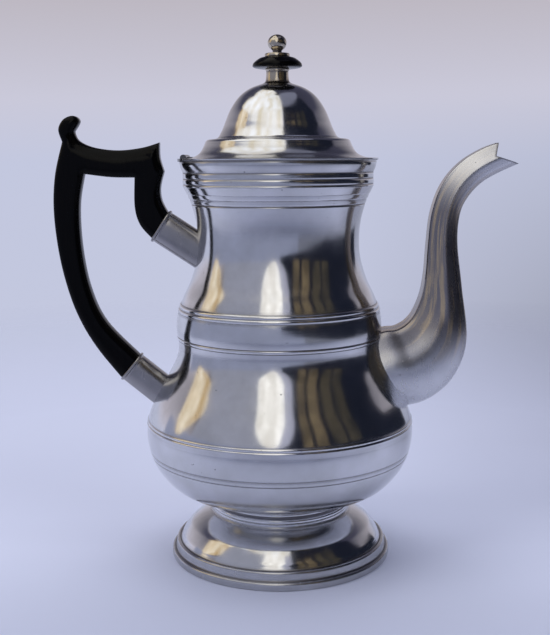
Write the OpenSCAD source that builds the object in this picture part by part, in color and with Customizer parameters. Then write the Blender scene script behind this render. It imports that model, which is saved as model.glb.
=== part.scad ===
// Hinged-lid coffee pot of spun pewter on a domed foot, with a swan-neck spout
// and a carved black wood handle.
//
// +Z is up and the origin is the centre of the foot's base. The spout points
// along +X, the handle along -X, and the pot is symmetric about the XZ plane.

/* [Body] */
// Outer radius of the foot where it stands
foot_r = 57; // [55:0.5:60]
// Outer radius of the belly at its fullest
belly_r = 68.6; // [67.6:0.2:69.6]
// Outer radius of the waist band at its fullest
waist_r = 52.5; // [51.9:0.1:53.1]
// Outer radius of the neck at its narrowest
neck_r = 40.8; // [40:0.2:42]
// Outer radius of the reeded collar under the rim
collar_r = 47.7; // [47.3:0.1:48.5]
// Thickness of the spun wall
wall = 1.5; // [1.3:0.1:2]

/* [Lid] */
// Radius of the lid's thin edge
lid_r = 50.3; // [50:0.1:51]
// Thickness of the lid's wall
lid_wall = 1.2; // [1:0.1:1.4]
// Radius of the hinge's knuckles
knuckle_r = 1.6; // [1.4:0.1:1.7]
// Length of the hinge's barrel, all knuckles together
barrel_len = 24; // [20:1:28]

/* [Knob] */
// Radius of the black disc
disc_r = 12.3; // [11:0.1:14]
// Radius of the ball on top
ball_r = 4.7; // [4:0.05:5]

/* [Handle] */
// Thickness of the handle across the pot
handle_t = 11; // [10:0.5:13]
// Wall thickness of the two sockets
socket_wall = 1.3; // [1:0.1:1.6]
// Radius of the pins that hold the handle
handle_pin_r = 1.1; // [0.8:0.1:1.5]

/* [Spout] */
// Wall thickness of the cast spout
spout_wall = 1.6; // [1.2:0.1:2]
// How far the spout's eight flats stand out, from 0 for round to 1 for flat
flat_share = 0.8; // [0:0.1:1]
// Diameter of the strainer's holes
strainer_hole_d = 3; // [2:0.2:3.6]

/* [Hidden] */
$fn = 96;

pewter = [0.70, 0.70, 0.73];
bright_pewter = [0.78, 0.78, 0.80];
brass = [0.72, 0.58, 0.30];
black_wood = [0.06, 0.06, 0.07];

// Heights of the seams between the spun sections
foot_top_z = 25;
bowl_z = 32.4;
belly_seam_z = 71.6;
waist_low_z = 113.8;
waist_high_z = 130.2;
collar_z = 190.6;
rim_z = 203.3;

// Gap between pieces that move past each other
gap = 0.3;
// Clearance of glued, soldered and pinned pieces
fit = 0.05;
// Height of the lip that each section pushes up inside the next one
lap_h = 3;
// Reach of a cutter past the face that it cuts
past = 1;

// ---------------------------------------------------------------- curves

// Points on a smooth curve through every point of a list, of any dimension
function smooth(p, steps = 4) = [
    for (i = [0 : len(p) - 2])
        let (a = p[max(i - 1, 0)], b = p[i], c = p[i + 1], d = p[min(i + 2, len(p) - 1)])
            for (k = [0 : steps - 1])
                let (t = k / steps)
                    (2 * b + (c - a) * t + (2 * a - 5 * b + 4 * c - d) * t ^ 2
                        + (3 * b - a - 3 * c + d) * t ^ 3) / 2,
    p[len(p) - 1]
];

function reversed(p) = [for (i = [len(p) - 1 : -1 : 0]) p[i]];

// All but the first point, for joining a curve on to the one that ends there
function rest_of(p) = [for (i = [1 : len(p) - 1]) p[i]];

// The unit vector square to a curve at point i, on the left of its direction
function left_of(p, i) =
    let (way = p[min(i + 1, len(p) - 1)] - p[max(i - 1, 0)])
        [-way[1], way[0]] / norm(way);

// The same curve moved sideways, to the left for a positive distance. An end on a
// steep wall is moved level instead, so that stacked sections meet in flat faces.
function moved(p, distance) = [
    for (i = [0 : len(p) - 1])
        let (side = left_of(p, i), level = (i == 0 || i == len(p) - 1) && abs(side[0]) > 0.5)
            p[i] + distance * (level ? [1 / side[0], 0] : side)
];

// A turned shell: the outline runs upwards and the wall lies inside it
module turned_shell(outline, thick) {
    rotate_extrude()
        polygon(concat(outline, reversed(moved(outline, thick))));
}

// A turned solid under an outline that runs upwards
module turned_solid(outline) {
    last = len(outline) - 1;
    rotate_extrude()
        polygon(concat([[0, outline[0][1]]], outline, [[0, outline[last][1]]]));
}

// A half-round bead that stands out around the pot
module bead(r, z, size) {
    rotate_extrude()
        translate([r, z])
            circle(size, $fn = 32);
}

// Lip that a section pushes up inside the start of the next section's outline,
// with a root that is one solid with the section's own wall
module lap(next_outline, thick) {
    seam = next_outline[0];
    lip = [for (p = next_outline) if (p[1] < seam[1] + lap_h) p];
    root = [for (i = [len(lip) - 1 : -1 : 1]) 2 * seam - lip[i]];
    turned_shell(moved(concat(root, lip), thick + fit), thick / 2);
    turned_shell(moved(concat(root, [seam]), thick / 2), thick);
}

// ------------------------------------------------- outlines of the body

foot_neck_r = foot_r - 22;

foot_outline = concat(
    [[foot_r - 0.2, 0], [foot_r, 0.6], [foot_r, 2.9], [foot_r - 0.7, 4]],
    [[foot_r - 1.7, 4.1], [foot_r - 2.4, 7.4], [foot_r - 3.2, 8.4], [foot_r - 4.2, 8.5]],
    smooth([[foot_r - 4.8, 9], [foot_r - 6.1, 11.5], [foot_r - 9, 15.3], [foot_r - 11.1, 17.4],
        [foot_r - 15, 19.8], [foot_r - 19.4, 22], [foot_r - 21.3, 23.2], [foot_neck_r, foot_top_z]])
);

bowl_outline = smooth([
    [foot_neck_r, bowl_z], [foot_neck_r + 7.2, bowl_z + 1.3], [belly_r - 17.6, bowl_z + 3.9],
    [belly_r - 11, bowl_z + 8.2], [belly_r - 4.4, bowl_z + 16.6], [belly_r - 1.1, bowl_z + 25],
    [belly_r, bowl_z + 33], [belly_r - 0.5, belly_seam_z]
]);

belly_outline = smooth([
    [belly_r - 0.5, belly_seam_z], [belly_r - 1.2, belly_seam_z + 3.4], [belly_r - 4.6, belly_seam_z + 11.4],
    [belly_r - 11.2, belly_seam_z + 23], [waist_r + 0.6, belly_seam_z + 31.4],
    [waist_r - 1, belly_seam_z + 38], [waist_r - 0.8, waist_low_z]
]);

waist_outline = smooth([
    [waist_r - 0.8, waist_low_z], [waist_r, waist_low_z + 5.2], [waist_r - 0.8, waist_low_z + 13],
    [waist_r - 1.7, waist_high_z]
]);

neck_outline = smooth([
    [waist_r - 1.7, waist_high_z], [waist_r - 4.4, waist_high_z + 6.5], [neck_r + 3.7, waist_high_z + 14.2],
    [neck_r + 0.7, waist_high_z + 24.6], [neck_r, waist_high_z + 33.5], [neck_r + 0.8, waist_high_z + 43],
    [collar_r - 3.6, collar_z - 8], [collar_r, collar_z]
]);

collar_outline = concat(
    smooth([[collar_r, collar_z], [collar_r, rim_z - 6]]),
    smooth([[collar_r + 0.4, rim_z - 5.6], [collar_r + 1.2, rim_z - 3.4], [collar_r + 1.9, rim_z]])
);

// The whole body as one solid, for cutting what sits on it
module body_envelope() {
    turned_solid(concat(
        bowl_outline, rest_of(belly_outline), rest_of(waist_outline), rest_of(neck_outline),
        rest_of(collar_outline)
    ));
}

// ------------------------------------------------------------------ body

module foot() {
    color(pewter) {
        turned_shell(foot_outline, wall);
        // Thick standing ring inside the edge
        difference() {
            cylinder(r = foot_r - 0.9, h = 2.6);
            translate([0, 0, -past])
                cylinder(r = foot_r - 4.5, h = 2.6 + 2 * past);
        }
    }
}

module foot_ring() {
    ring_h = bowl_z - foot_top_z - 2 * fit;
    color(pewter)
        difference() {
            union() {
                translate([0, 0, foot_top_z + fit])
                    cylinder(r = foot_neck_r, h = ring_h);
                for (z = [foot_top_z + 1.5, foot_top_z + 4.9])
                    bead(foot_neck_r, z, 1.2);
            }
            translate([0, 0, foot_top_z - past])
                cylinder(r = foot_neck_r - wall, h = ring_h + 2 * past);
        }
}

// Two fine lines cut around the bowl
module bowl_lines() {
    for (z = [bowl_z + 22.1, bowl_z + 24.7])
        bead(belly_r - 0.9 - (bowl_z + 24.7 - z) * 0.35, z, 0.45);
}

module lower_bowl() {
    color(pewter)
        difference() {
            union() {
                turned_shell(bowl_outline, wall);
                // Flat floor of the pot
                translate([0, 0, bowl_z])
                    cylinder(r = foot_neck_r, h = wall);
                lap(belly_outline, wall);
                bead(belly_r - 0.7, belly_seam_z - 0.8, 0.75);
            }
            bowl_lines();
        }
}

// Rows of strainer holes through the wall, square to it behind the spout
module strainer_holes() {
    pitch = 5.4;
    rows = 5;
    for (row = [0 : rows - 1]) {
        count = row % 2 == 0 ? 2 : 3;
        z = 84 + row * pitch;
        for (i = [0 : count - 1])
            translate([0, (i - (count - 1) / 2) * pitch, z])
                rotate([0, 90, 0])
                    cylinder(d = strainer_hole_d, h = belly_r);
    }
}

module upper_belly() {
    color(pewter)
        difference() {
            union() {
                turned_shell(belly_outline, wall);
                lap(waist_outline, wall);
                bead(belly_r - 0.9, belly_seam_z + 0.8, 0.75);
            }
            strainer_holes();
        }
}

// The bead that the spout's root is notched for
module waist_bead(grow = 0) {
    bead(waist_r - 1, waist_low_z + 1, 0.9 + grow);
}

module waist_band() {
    color(pewter) {
        turned_shell(waist_outline, wall);
        lap(neck_outline, wall);
        waist_bead();
        bead(waist_r - 1.9, waist_high_z - 1, 0.9);
    }
}

module neck() {
    color(pewter)
        difference() {
            union() {
                turned_shell(neck_outline, wall);
                lap(collar_outline, wall);
                bead(waist_r - 2.3, waist_high_z + 1, 0.9);
            }
            // Three fine lines cut below the collar
            for (z = [collar_z - 3.8, collar_z - 6.1, collar_z - 8.4])
                bead(collar_r - 0.7 - (collar_z - z - 1.6) * 0.44, z, 0.5);
        }
}

module rim_collar() {
    color(pewter)
        difference() {
            turned_shell(collar_outline, wall);
            // Grooves between the reeds
            for (z = [rim_z - 5.7, rim_z - 8.6, rim_z - 11.4])
                bead(collar_r + 0.1, z, 0.6);
        }
}

// ----------------------------------------------------------------- spout

// Each row: inner edge x and z, outer edge x and z, half the width across
spout_rows = [
    [38, 110, 48, 76, 13.5], [52, 117, 66.5, 77.5, 14.2], [60.5, 118.5, 79, 82, 13.6],
    [67.3, 123.8, 90.7, 93.5, 12.2], [72, 134, 96.5, 112, 10.4], [74.2, 146, 93.5, 139.6, 8.9],
    [75.2, 161, 90.9, 161.5, 8], [77, 177, 91.8, 176, 7.5], [82, 191, 95.6, 184.6, 7.2],
    [91, 201.9, 102.5, 192, 7.1], [103, 209.2, 111.8, 197.3, 7.2], [115, 213, 124, 202.5, 7.4]
];
// Corners of the mouth seen from the side: upper tip, notch, lower tip
mouth_upper_tip = [109.6, 211.2];
mouth_notch = [108.2, 205];
mouth_lower_tip = [121.2, 201];

// One ring of points of the spout, thick being how far inside its surface it lies
function spout_ring(row, thick, forward = 0) =
    let (
        half = [row[0] - row[2], row[1] - row[3]] / 2,
        mid = [row[0] + row[2], row[1] + row[3]] / 2 + forward * [half[1], -half[0]] / norm(half),
        depth = 1 - thick / norm(half),
        width = row[4] - thick,
        corners = 8
    )
        [for (i = [0 : 2 * corners - 1])
            let (
                a = i * 180 / corners,
                flat_in = i % 2 == 0 ? 1 - flat_share * (1 - cos(180 / corners)) : 1,
                plane = mid + half * depth * cos(a) * flat_in
            )
                [plane[0], width * sin(a) * flat_in, plane[1]]];

// A closed solid through the rings of the spout, from the body to past the mouth
module spout_form(thick, longer = 0) {
    rows = smooth(spout_rows, 3);
    last = len(rows) - 1;
    rings = [
        for (k = [0 : last])
            spout_ring(rows[k], thick, k == 0 ? -longer : k == last ? longer : 0)
    ];
    n = len(rings[0]);
    sides = [
        for (k = [0 : last - 1])
            for (i = [0 : n - 1])
                let (j = (i + 1) % n, a = k * n + i, b = k * n + j)
                    each [[a, b, b + n], [a, b + n, a + n]]
    ];
    polyhedron(
        points = [for (ring = rings) each ring],
        faces = concat([[for (i = [n - 1 : -1 : 0]) i]], sides, [[for (i = [0 : n - 1]) last * n + i]])
    );
}

// What lies beyond the mouth's swallow-tail edge
module beyond_mouth() {
    far = 150;
    rotate([90, 0, 0])
        linear_extrude(height = 60, center = true)
            polygon([mouth_upper_tip, mouth_notch, mouth_lower_tip, [far, 190], [far, 240], [100, 240]]);
}

module spout() {
    color(pewter)
        difference() {
            spout_form(0);
            spout_form(spout_wall, past);
            body_envelope();
            waist_bead(fit);
            beyond_mouth();
        }
}

// --------------------------------------------------------------- handle

// Angle of each socket's axis below level, and the centre of its mouth
upper_socket_angle = 33.5;
upper_mouth = [-59.8, 171.4];
lower_socket_angle = 39.5;
lower_mouth = [-76.7, 99.2];
upper_socket_d = 17;
lower_socket_d = 15.6;
// How far the handle's ends reach into the sockets
tenon_len = 12;
// How far each pin lies from its socket's mouth
pin_depth = 6;

// Turns +X to run down a socket from its mouth towards the body
module along_socket(mouth, angle) {
    translate([mouth[0], 0, mouth[1]])
        rotate([0, angle, 0])
            children();
}

// A bar along +X with rounded long edges: depth in the handle's plane, thick across it
module rounded_bar(len, depth, thick, edge) {
    rotate([0, 90, 0])
        linear_extrude(height = len)
            union() {
                square([depth - 2 * edge, thick], center = true);
                square([depth, thick - 2 * edge], center = true);
                for (x = [-1, 1], y = [-1, 1])
                    translate([x * (depth / 2 - edge), y * (thick / 2 - edge)])
                        circle(edge, $fn = 32);
            }
}

// The handle's end in a socket, grown by a clearance for the pocket
module tenon(mouth, angle, socket_d, grow = 0) {
    along_socket(mouth, angle)
        translate([-past, 0, 0])
            rounded_bar(tenon_len + past + grow, socket_d - 2 * socket_wall - 2 * fit + 2 * grow,
                handle_t + 2 * grow, 2.5 + grow);
}

module handle_pin(mouth, angle, grow = 0) {
    pin_len = handle_t + 2 * socket_wall + 2 * fit - 0.2;
    along_socket(mouth, angle)
        translate([pin_depth, 0, 0])
            rotate([90, 0, 0])
                cylinder(r = handle_pin_r + grow, h = pin_len + 4 * grow, center = true, $fn = 32);
}

// A cast socket: a tube with a lip at its mouth, cut to sit on the body
module socket(mouth, angle, socket_d) {
    reach = 40;
    thick = handle_t + 2 * fit + 2 * socket_wall;
    difference() {
        along_socket(mouth, angle) {
            rounded_bar(reach, socket_d, thick, 4);
            rounded_bar(1.4, socket_d + 1.4, thick + 1.4, 4.5);
        }
        tenon(mouth, angle, socket_d, fit);
        handle_pin(mouth, angle, fit / 2);
        body_envelope();
    }
}

module upper_socket() {
    color(bright_pewter)
        socket(upper_mouth, upper_socket_angle, upper_socket_d);
}

module lower_socket() {
    color(bright_pewter)
        socket(lower_mouth, lower_socket_angle, lower_socket_d);
}

// The handle's outline in the XZ plane, edge by edge from the lower socket up
// the back, around the scroll, along the top, down to the upper socket and back
handle_back = [
    [-81.6, 93.6], [-92.7, 107.9], [-100.5, 121], [-106.4, 136], [-111, 156], [-113.1, 178],
    [-111.9, 196.5], [-107.6, 213.5]
];
handle_scroll = [
    [-107.6, 213.5], [-109.3, 219.6], [-106.6, 224.6], [-101.6, 226.3], [-98.8, 223.6], [-101.6, 218.6]
];
handle_top = [[-101.6, 218.6], [-99.4, 214.1], [-92, 210.7], [-80, 209.2], [-68, 210.4], [-59.2, 212.9]];
handle_front = [[-59.2, 212.9], [-59.1, 205.5], [-57.2, 198.6]];
handle_front_leg = [[-57.2, 198.6], [-59.2, 190.5], [-58.6, 184], [-55.6, 177.9]];
handle_inner_leg = [[-64, 165.1], [-69.8, 172], [-72.3, 181], [-72, 195.6]];
handle_inner_top = [[-72, 195.6], [-84, 195.9], [-97.4, 197.6]];
handle_inner_back = [
    [-97.4, 197.6], [-100.2, 182], [-99.8, 161], [-96.2, 140], [-88.5, 122.4], [-72.1, 104.9]
];

module handle_shape() {
    rotate([90, 0, 0])
        linear_extrude(height = handle_t, center = true)
            polygon(concat(
                smooth(handle_back), smooth(handle_scroll), smooth(handle_top), smooth(handle_front, 2),
                smooth(handle_front_leg, 3), smooth(handle_inner_leg, 3), smooth(handle_inner_top, 2),
                smooth(handle_inner_back)
            ));
}

module handle() {
    color(black_wood)
        difference() {
            union() {
                handle_shape();
                tenon(upper_mouth, upper_socket_angle, upper_socket_d);
                tenon(lower_mouth, lower_socket_angle, lower_socket_d);
            }
            handle_pin(upper_mouth, upper_socket_angle, fit / 2);
            handle_pin(lower_mouth, lower_socket_angle, fit / 2);
        }
}

module upper_handle_pin() {
    color(bright_pewter)
        handle_pin(upper_mouth, upper_socket_angle);
}

module lower_handle_pin() {
    color(bright_pewter)
        handle_pin(lower_mouth, lower_socket_angle);
}

// ----------------------------------------------------------------- hinge

// The hinge's axis runs along Y just inside the rim on the handle's side
hinge_x = -(lid_r - 3.8);
hinge_z = rim_z + gap + knuckle_r;
hinge_pin_r = 0.7;
hinge_bore_r = hinge_pin_r + 0.06;
lid_knuckle_len = 9;
lid_under_z = rim_z + 0.25;
lid_edge_t = lid_wall;

// A round bar along the hinge's axis, from one place across the pot to another
module hinge_bar(r, from_y, to_y) {
    translate([hinge_x, to_y, hinge_z])
        rotate([90, 0, 0])
            cylinder(r = r, h = to_y - from_y, $fn = 48);
}

module body_knuckles(grow = 0) {
    inner = lid_knuckle_len / 2 + gap - grow;
    outer = barrel_len / 2 + grow;
    hinge_bar(knuckle_r + grow, -outer, -inner);
    hinge_bar(knuckle_r + grow, inner, outer);
}

// All that lies on the handle's side of a plane across the pot
module handle_side(edge_x) {
    translate([edge_x - lid_r, -lid_r, rim_z - 20])
        cube([lid_r, 2 * lid_r, 60]);
}

module hinge_leaf() {
    color(bright_pewter)
        difference() {
            union() {
                // Segment of the rim's flat edge that stays on the pot
                intersection() {
                    translate([0, 0, rim_z])
                        cylinder(r = lid_r, h = lid_under_z + lid_edge_t - rim_z);
                    handle_side(hinge_x - gap / 2);
                }
                body_knuckles();
            }
            hinge_bar(hinge_bore_r, -barrel_len, barrel_len);
            hinge_bar(knuckle_r + gap, -lid_knuckle_len / 2 - gap, lid_knuckle_len / 2 + gap);
        }
}

module hinge_pin() {
    color(bright_pewter)
        hinge_bar(hinge_pin_r, -barrel_len / 2, barrel_len / 2);
}

// The lid's knuckle with the tongue that is let into the top of the lid's edge
module lid_knuckle_form(grow = 0) {
    half = lid_knuckle_len / 2 + grow;
    tongue_len = 4.5;
    tongue_t = 0.9;
    hinge_bar(knuckle_r + grow, -half, half);
    translate([hinge_x, -half, hinge_z - tongue_t / 2 - grow])
        cube([tongue_len + grow, 2 * half, tongue_t + 2 * grow]);
}

module lid_knuckle() {
    color(bright_pewter)
        difference() {
            lid_knuckle_form();
            hinge_bar(hinge_bore_r, -barrel_len, barrel_len);
        }
}

// ------------------------------------------------------------------- lid

lid_seam_r = 29.6;
lid_seam_z = 215.4;
dome_top_z = 241.2;
dome_flat_r = 7.6;

flange_outline = concat(
    [[lid_r - 5, lid_under_z + lid_edge_t + 0.1]],
    smooth([[lid_r - 7.5, 205.4], [lid_r - 10.6, 207], [lid_r - 12.6, 209.6], [lid_r - 14.2, 212.9],
        [lid_r - 15.4, 213.9], [lid_r - 18.2, 214.2], [lid_seam_r, lid_seam_z]], 3)
);

dome_outline = smooth([
    [lid_seam_r, lid_seam_z], [27.6, 219.2], [26, 223.2], [23.4, 229], [19.1, 235], [13.8, 238.9],
    [dome_flat_r, dome_top_z]
]);

bezel_r = collar_r - wall - gap - 0.15;
bezel_h = 5;
stud_r = 1.5;
stud_bore_r = stud_r + 0.1;

// Everything that the hinge needs clear on the lid
module hinge_notch() {
    handle_side(hinge_x + gap / 2);
    body_knuckles(gap);
    lid_knuckle_form(fit);
}

module lid_flange() {
    color(pewter)
        difference() {
            union() {
                turned_shell(flange_outline, lid_wall);
                // Flat edge that rests over the rim
                translate([0, 0, lid_under_z])
                    difference() {
                        cylinder(r = lid_r, h = lid_edge_t);
                        translate([0, 0, -past])
                            cylinder(r = lid_r - 9.5, h = lid_edge_t + 2 * past);
                    }
            }
            hinge_notch();
        }
}

module lid_dome() {
    color(pewter)
        difference() {
            union() {
                turned_shell(dome_outline, lid_wall);
                translate([0, 0, dome_top_z - lid_wall])
                    cylinder(r = dome_flat_r + 0.1, h = lid_wall);
            }
            translate([0, 0, dome_top_z - 5])
                cylinder(r = stud_bore_r, h = 10);
        }
}

// Ring under the lid that drops into the rim
module lid_bezel() {
    color(pewter)
        difference() {
            translate([0, 0, lid_under_z - bezel_h])
                cylinder(r = bezel_r, h = bezel_h - fit);
            translate([0, 0, lid_under_z - bezel_h - past])
                cylinder(r = bezel_r - 1.2, h = bezel_h + 2 * past);
        }
}

// ------------------------------------------------------------------ knob

stem_top_z = 248.5;
washer_z = 254.2;
washer_h = 1.7;
knob_top_z = 265;
// The ball is slightly flattened from top to bottom
ball_half_h = 4.1;
nut_h = 3.2;

module stud_bore() {
    cylinder(r = stud_bore_r, h = knob_top_z);
}

module knob_stem() {
    color(pewter)
        difference() {
            turned_solid(smooth([
                [dome_flat_r - 0.3, dome_top_z + fit], [6.2, dome_top_z + 1], [5.7, dome_top_z + 3],
                [5.5, stem_top_z - 1.5], [5.9, stem_top_z]
            ]));
            stud_bore();
        }
}

module knob_disc() {
    color(black_wood)
        difference() {
            turned_solid(smooth([
                [disc_r - 4, stem_top_z + fit], [disc_r - 1.2, stem_top_z + 0.4], [disc_r, stem_top_z + 1.5],
                [disc_r - 0.8, stem_top_z + 3], [disc_r - 3.3, stem_top_z + 4.9], [6, washer_z]
            ]));
            stud_bore();
        }
}

module knob_washer() {
    color(pewter)
        difference() {
            translate([0, 0, washer_z + fit])
                cylinder(r = 6.2, h = washer_h - fit);
            stud_bore();
        }
}

// Ball, its neck and the threaded stud that clamps the whole knob to the lid
module knob_ball() {
    stud_low_z = dome_top_z - lid_wall - nut_h - 2;
    neck_z = washer_z + washer_h + fit;
    color(bright_pewter) {
        turned_solid(concat(
            [[2.9, neck_z], [2.3, neck_z + 0.4], [2.3, neck_z + 1.2]],
            [for (a = [-57 : 7 : 90]) [ball_r * cos(a), knob_top_z - ball_half_h + ball_half_h * sin(a)]]
        ));
        translate([0, 0, stud_low_z])
            cylinder(r = stud_r, h = neck_z + 0.2 - stud_low_z);
    }
}

module knob_nut() {
    color(brass)
        translate([0, 0, dome_top_z - lid_wall - nut_h - fit])
            difference() {
                cylinder(r = 4, h = nut_h, $fn = 6);
                translate([0, 0, -past])
                    cylinder(r = stud_bore_r, h = nut_h + 2 * past);
            }
}

foot();
foot_ring();
lower_bowl();
upper_belly();
waist_band();
neck();
rim_collar();
spout();
upper_socket();
lower_socket();
handle();
upper_handle_pin();
lower_handle_pin();
hinge_leaf();
hinge_pin();
lid_flange();
lid_dome();
lid_bezel();
lid_knuckle();
knob_stem();
knob_disc();
knob_washer();
knob_ball();
knob_nut();
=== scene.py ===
"""Looks of the hinged-lid pewter coffee pot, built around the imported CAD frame.

Lengths of the pieces are in millimetres, in the CAD frame: +Z up, the spout
towards +X, the handle towards -X, origin under the foot on the pot's axis. The
stage, at the end, is in metres.
"""

import math

import bpy
import numpy as np
from mathutils import Matrix, Vector
from mathutils.geometry import delaunay_2d_cdt


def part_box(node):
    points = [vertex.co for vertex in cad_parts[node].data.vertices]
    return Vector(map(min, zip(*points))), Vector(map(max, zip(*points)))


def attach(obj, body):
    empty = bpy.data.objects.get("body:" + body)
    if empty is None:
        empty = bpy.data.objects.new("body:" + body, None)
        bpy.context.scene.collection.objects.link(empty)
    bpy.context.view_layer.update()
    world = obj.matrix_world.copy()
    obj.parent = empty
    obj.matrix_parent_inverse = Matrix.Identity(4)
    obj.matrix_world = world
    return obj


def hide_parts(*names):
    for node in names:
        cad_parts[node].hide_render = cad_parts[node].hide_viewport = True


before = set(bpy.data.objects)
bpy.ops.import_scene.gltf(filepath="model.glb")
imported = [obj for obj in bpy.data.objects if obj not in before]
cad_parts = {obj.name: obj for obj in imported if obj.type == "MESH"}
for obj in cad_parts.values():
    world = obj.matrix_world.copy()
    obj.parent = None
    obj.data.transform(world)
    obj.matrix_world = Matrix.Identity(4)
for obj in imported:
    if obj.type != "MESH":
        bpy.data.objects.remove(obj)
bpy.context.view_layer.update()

MM = 0.001
SEGMENTS = 160          # steps around a turned piece
WALL = 1.5              # thickness of the spun wall
LID_WALL = 1.2
BORE = 1.6              # radius of the stud's bore through the knob
SPOUT_WALL = 1.6
KNUCKLE_R = 1.6
HINGE_GAP = 0.3         # room that the lid's edge leaves around the pot's knuckles
SHARP_ANGLE = math.radians(42)


def low(node):
    """Lowest corner of a CAD node's box, in millimetres."""
    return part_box(node)[0] / MM


def high(node):
    """Highest corner of a CAD node's box, in millimetres."""
    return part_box(node)[1] / MM


# Driving sizes, read from the frame
FOOT_R = high("foot").x
FOOT_NECK_R = FOOT_R - 22
FOOT_TOP_Z = 25
BOWL_Z = low("lower_bowl").z
BELLY_R = high("lower_bowl").x - 0.05
SEAM_Z = 71.6
WAIST_LOW_Z = 113.8
WAIST_HIGH_Z = 130.2
WAIST_R = high("waist_band").x
NECK_R = 40.8
COLLAR_Z = 190.6
COLLAR_R = 47.7
RIM_Z = high("rim_collar").z
LID_R = high("lid_flange").x
LID_Z = low("lid_flange").z
LID_SEAM_R = 29.6
LID_SEAM_Z = low("lid_dome").z
DOME_TOP_Z = high("lid_dome").z
STEM_TOP_Z = high("knob_stem").z
WASHER_Z = low("knob_washer").z
WASHER_TOP_Z = high("knob_washer").z
DISC_R = high("knob_disc").x
KNOB_TOP_Z = high("knob_ball").z
BALL_R = high("knob_ball").x
BALL_HALF_H = 4.1
HINGE_X = (low("hinge_pin").x + high("hinge_pin").x) / 2
HINGE_Z = (low("hinge_pin").z + high("hinge_pin").z) / 2


# ---------------------------------------------------------------- curves

def smooth(points, steps=12):
    """Points on a smooth curve through every given point, of any dimension."""
    out = []
    last = len(points) - 1
    for i in range(last):
        a, b = points[max(i - 1, 0)], points[i]
        c, d = points[i + 1], points[min(i + 2, last)]
        for k in range(steps):
            t = k / steps
            out.append(tuple(
                0.5 * (2 * q + (r - p) * t + (2 * p - 5 * q + 4 * r - s) * t * t
                       + (3 * q - p - 3 * r + s) * t ** 3)
                for p, q, r, s in zip(a, b, c, d)))
    out.append(tuple(points[-1]))
    return out


def lengths(points):
    """Distance along a polyline to each of its points."""
    steps = np.linalg.norm(np.diff(np.array(points), axis=0), axis=1)
    return np.concatenate([[0], np.cumsum(steps)])


def normals(points):
    """Unit vectors square to a curve, on the right of its direction."""
    along = lengths(points) + 1e-12 * np.arange(len(points))   # repeated points stay apart
    way = np.gradient(np.array(points, float), along, axis=0)
    way /= np.linalg.norm(way, axis=1)[:, None]
    return np.stack([way[:, 1], -way[:, 0]], axis=1)


def smoothstep(x, start, end):
    """0 before start and 1 after end, with a soft rise between."""
    t = np.clip((x - start) / (end - start), 0, 1)
    return t * t * (3 - 2 * t)


def relief(mark, z):
    """How far one turned detail stands out at height z: a bead, a rounded reed or a cut line."""
    form, centre, half, height = mark
    u = np.clip(np.abs(z - centre) / half, 0, 1)
    if form == "bead":
        return height * np.sqrt(1 - u * u)
    if form == "line":
        return -height * (1 - u * u) ** 2
    return height * (1 - u ** 4)


def turned(points, marks=(), fine=0.22, coarse=1.4):
    """An outline that runs upwards, resampled, with its turned details added."""
    dense = np.array(smooth(points, 40))
    along = lengths(dense)
    stops = [0.0]
    while stops[-1] < along[-1]:
        z = np.interp(stops[-1], along, dense[:, 1])
        near = any(abs(z - m[1]) < m[2] * 1.25 + 0.4 for m in marks)
        stops.append(stops[-1] + (fine if near else coarse))
    stops[-1] = along[-1]
    curve = np.stack([np.interp(stops, along, dense[:, k]) for k in (0, 1)], axis=1)
    rise = sum((relief(m, curve[:, 1]) for m in marks), np.zeros(len(curve)))
    return curve + normals(curve) * rise[:, None]


# ---------------------------------------------------------------- meshes

def new_piece(name, verts, faces, material, body, nodes, values=None):
    """A smooth-shaded mesh object from millimetres, riding on a CAD body."""
    mesh = bpy.data.meshes.new(name)
    mesh.from_pydata([Vector(v) * MM for v in verts], [], faces)
    mesh.validate()
    mesh.update()
    if values is not None:
        # Share of groove tarnish and painted shade at each point, which the pewter mixes in as a dark colour
        layer = mesh.attributes.new("tarnish_and_shade", "FLOAT", "POINT")
        layer.data.foreach_set("value", np.asarray(values, np.float32))
    mesh.shade_smooth()
    mesh.set_sharp_from_angle(angle=SHARP_ANGLE)
    piece = bpy.data.objects.new(name, mesh)
    bpy.context.scene.collection.objects.link(piece)
    mesh.materials.append(material)
    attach(piece, body)
    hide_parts(*nodes)
    return piece


def hollowness(loop, reach=0.9, full=0.16):
    """How far each point of an outline lies in a groove, from 0 to 1."""
    points = np.array(loop, float)
    along = lengths(points)
    gap = np.abs(along[:, None] - along[None, :])
    weight = np.exp(-(gap / reach) ** 2) * np.gradient(along)[None, :]
    mean = weight @ points / weight.sum(1)[:, None]
    depth = ((mean - points) * normals(points)).sum(1)
    return np.clip(depth / full, 0, 1)


def lathe(name, loop, material, body, nodes, closed=True, shade_band=None):
    """Turns an outline about Z. A closed loop makes a ring; an open one starts and ends on the axis.

    shade_band is a height, and the share of painted shade on all that lies above or below it.
    """
    # Darkness at each point: groove tarnish and painted shade from the hollowness, then the painted shade
    # band
    dark = hollowness(loop)
    if shade_band:
        level, above, below = shade_band
        heights = np.array(loop)[:, 1]
        dark = np.maximum(dark, np.where(heights > level, above, below))
    verts, faces, values, rings = [], [], [], []
    for (r, z), value in zip(loop, dark):
        if r < 1e-4:
            rings.append([len(verts)] * SEGMENTS)
            verts.append((0, 0, z))
            values.append(value)
            continue
        rings.append(list(range(len(verts), len(verts) + SEGMENTS)))
        for i in range(SEGMENTS):
            a = 2 * math.pi * i / SEGMENTS
            verts.append((r * math.cos(a), r * math.sin(a), z))
            values.append(value)
    pairs = list(zip(rings, rings[1:]))
    if closed:
        pairs.append((rings[-1], rings[0]))
    for lower, upper in pairs:
        for i in range(SEGMENTS):
            j = (i + 1) % SEGMENTS
            face = [lower[i], lower[j], upper[j], upper[i]]
            face = [v for k, v in enumerate(face) if v != face[k - 1]]
            faces.append(face)
    return new_piece(name, verts, faces, material, body, nodes, values)


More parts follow.
